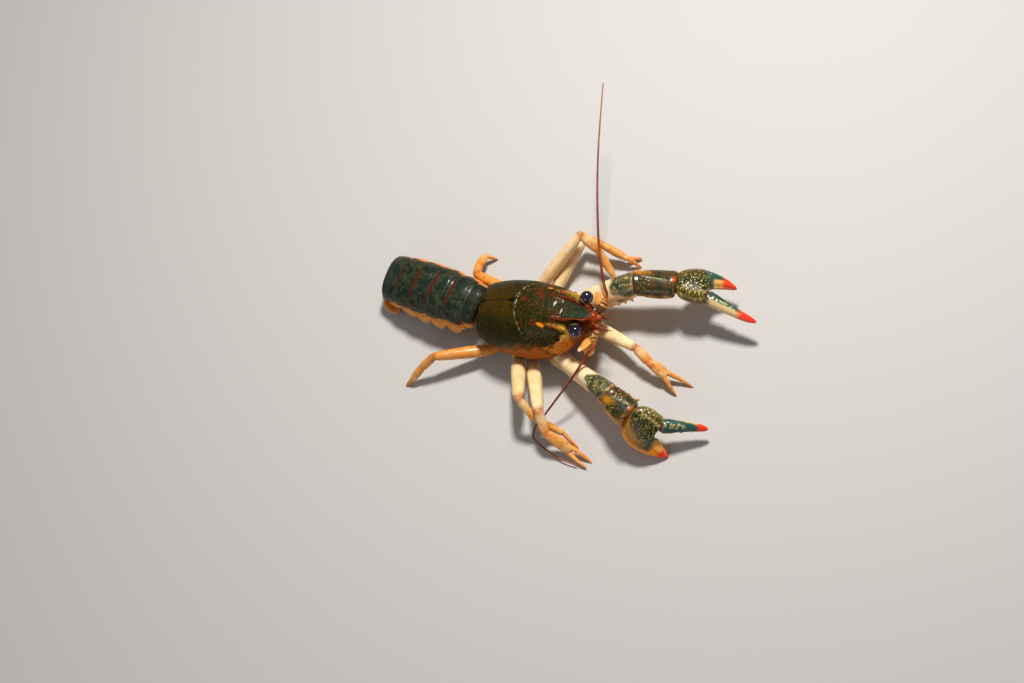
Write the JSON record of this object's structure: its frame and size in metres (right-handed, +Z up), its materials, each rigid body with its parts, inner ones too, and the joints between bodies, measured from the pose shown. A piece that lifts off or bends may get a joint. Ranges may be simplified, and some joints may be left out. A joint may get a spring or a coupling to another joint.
{
  "type": "crayfish",
  "caption": "Burrowing crayfish at life size, standing with its claws held forward, one long feeler raised and the tail fan tucked under.",
  "frame": {"origin": "centre of the underside of the animal's bounding box, on the floor it stands on", "axes": "+X towards the head, +Y towards the animal's left side, +Z up"},
  "size_m": [0.1048, 0.0988, 0.0251],
  "materials": {
    "shell": "wet gloss",
    "tail_shell": "wet gloss",
    "tail_fan": "wet gloss",
    "leg": "satin",
    "leg_tip": "satin",
    "arm": "satin",
    "wrist": "wet gloss",
    "claw": "wet gloss",
    "finger": "wet gloss",
    "eye": "high gloss",
    "feeler": "satin",
    "mouthparts": "satin"
  },
  "bodies": {
    "root": {"antenna_base_left": "mouthparts", "antenna_base_right": "mouthparts", "antenna_left": "feeler", "antenna_right": "feeler", "antennule_left": "feeler", "antennule_right": "feeler", "cephalothorax": "shell", "cheliped_arm_left": "arm", "cheliped_arm_right": "arm", "cheliped_base_left": "arm", "cheliped_base_right": "arm", "cheliped_wrist_left": "wrist", "cheliped_wrist_right": "wrist", "claw_finger_left": "finger", "claw_finger_right": "finger", "claw_left": "claw", "claw_right": "claw", "eye_left": "eye", "eye_right": "eye", "eyestalk_left": "mouthparts", "eyestalk_right": "mouthparts", "leg_2_lower_left": "leg_tip", "leg_2_lower_right": "leg_tip", "leg_2_upper_left": "leg", "leg_2_upper_right": "leg", "leg_3_lower_left": "leg_tip", "leg_3_lower_right": "leg_tip", "leg_3_upper_left": "leg", "leg_3_upper_right": "leg", "leg_4_lower_left": "leg_tip", "leg_4_lower_right": "leg_tip", "leg_4_upper_left": "leg", "leg_4_upper_right": "leg", "leg_5_lower_left": "leg_tip", "leg_5_lower_right": "leg_tip", "leg_5_upper_left": "leg", "leg_5_upper_right": "leg", "maxilliped_left": "leg", "maxilliped_right": "leg", "pleonite_1": "tail_shell", "pleonite_2": "tail_shell", "pleonite_3": "tail_shell", "pleonite_4": "tail_shell", "pleonite_5": "tail_shell", "pleonite_6": "tail_shell", "telson": "tail_fan", "uropod_inner_left": "tail_fan", "uropod_inner_right": "tail_fan", "uropod_outer_left": "tail_fan", "uropod_outer_right": "tail_fan"}
  },
  "joints": []
}
